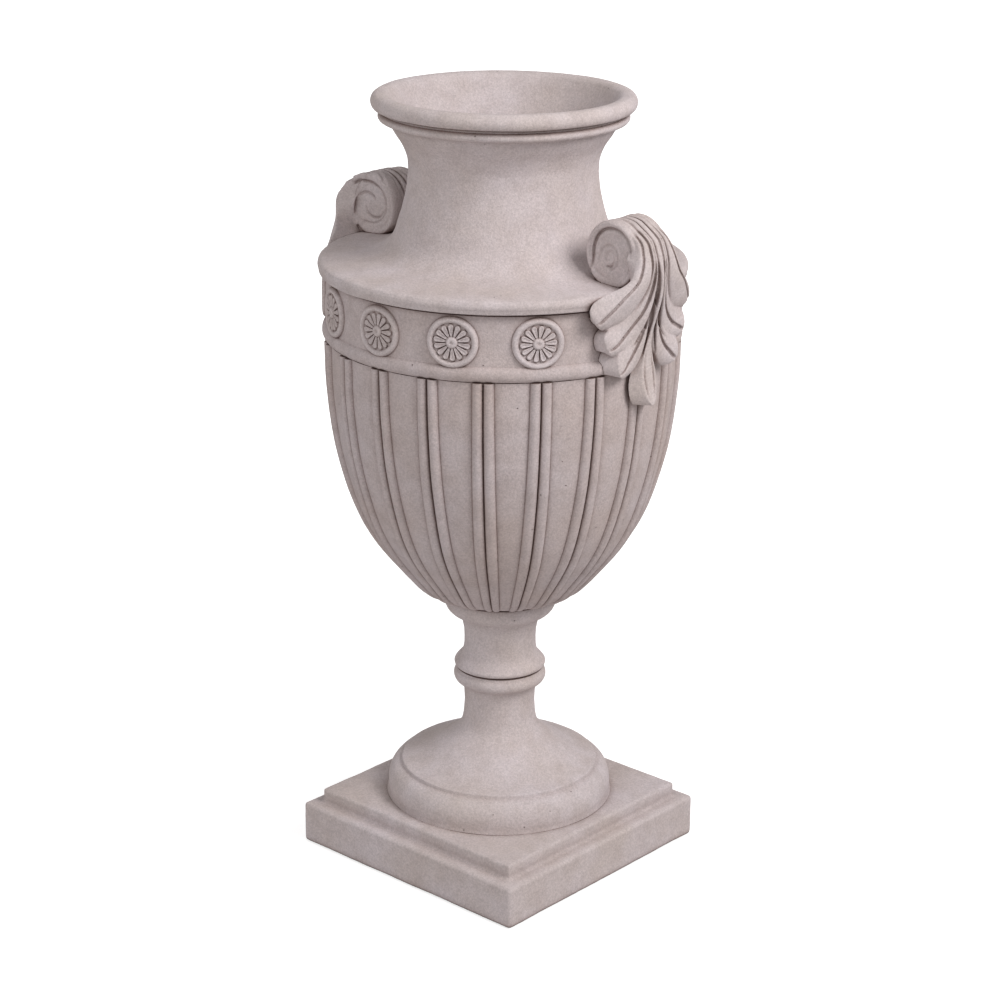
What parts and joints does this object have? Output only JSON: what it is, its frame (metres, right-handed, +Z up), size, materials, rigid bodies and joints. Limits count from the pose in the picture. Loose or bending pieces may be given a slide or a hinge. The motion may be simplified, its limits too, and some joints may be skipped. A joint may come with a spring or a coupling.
{
  "type": "garden urn",
  "caption": "Footed cast-stone urn with a square stepped plinth, reeded bowl, rosette band, flared neck and a volute leaf handle on each side.",
  "frame": {"origin": "centre of the underside of the plinth, on the surface that the urn stands on", "axes": "+Z up along the axis of the urn, +X towards the right-hand handle, Y square to the handles; the plinth sides run along X and Y"},
  "size_m": [0.456, 0.4126, 0.9],
  "materials": {
    "cast_stone": "fine sandy cast stone, matt, unsealed",
    "cast_stone_bowl": "fine sandy cast stone, matt, slightly darker from weathering in the hollows",
    "mortar": "fine bedding mortar, matt",
    "stainless_steel": "drawn stainless bar and fasteners"
  },
  "bodies": {
    "root": {"plinth": "cast_stone", "stem": "cast_stone", "bowl": "cast_stone_bowl", "neck": "cast_stone", "handle_right": "cast_stone", "handle_left": "cast_stone", "rosette_01": "cast_stone", "rosette_02": "cast_stone", "rosette_03": "cast_stone", "rosette_04": "cast_stone", "rosette_05": "cast_stone", "rosette_06": "cast_stone", "rosette_07": "cast_stone", "rosette_08": "cast_stone", "rosette_09": "cast_stone", "rosette_10": "cast_stone", "foot_mortar_bed": "mortar", "bowl_mortar_bed": "mortar", "neck_mortar_bed": "mortar", "dowel_right_upper": "stainless_steel", "dowel_right_lower": "stainless_steel", "dowel_left_upper": "stainless_steel", "dowel_left_lower": "stainless_steel", "tie_rod": "stainless_steel", "tie_washer_bottom": "stainless_steel", "tie_nut_bottom": "stainless_steel", "tie_washer_top": "stainless_steel", "tie_nut_top": "stainless_steel"}
  },
  "joints": []
}
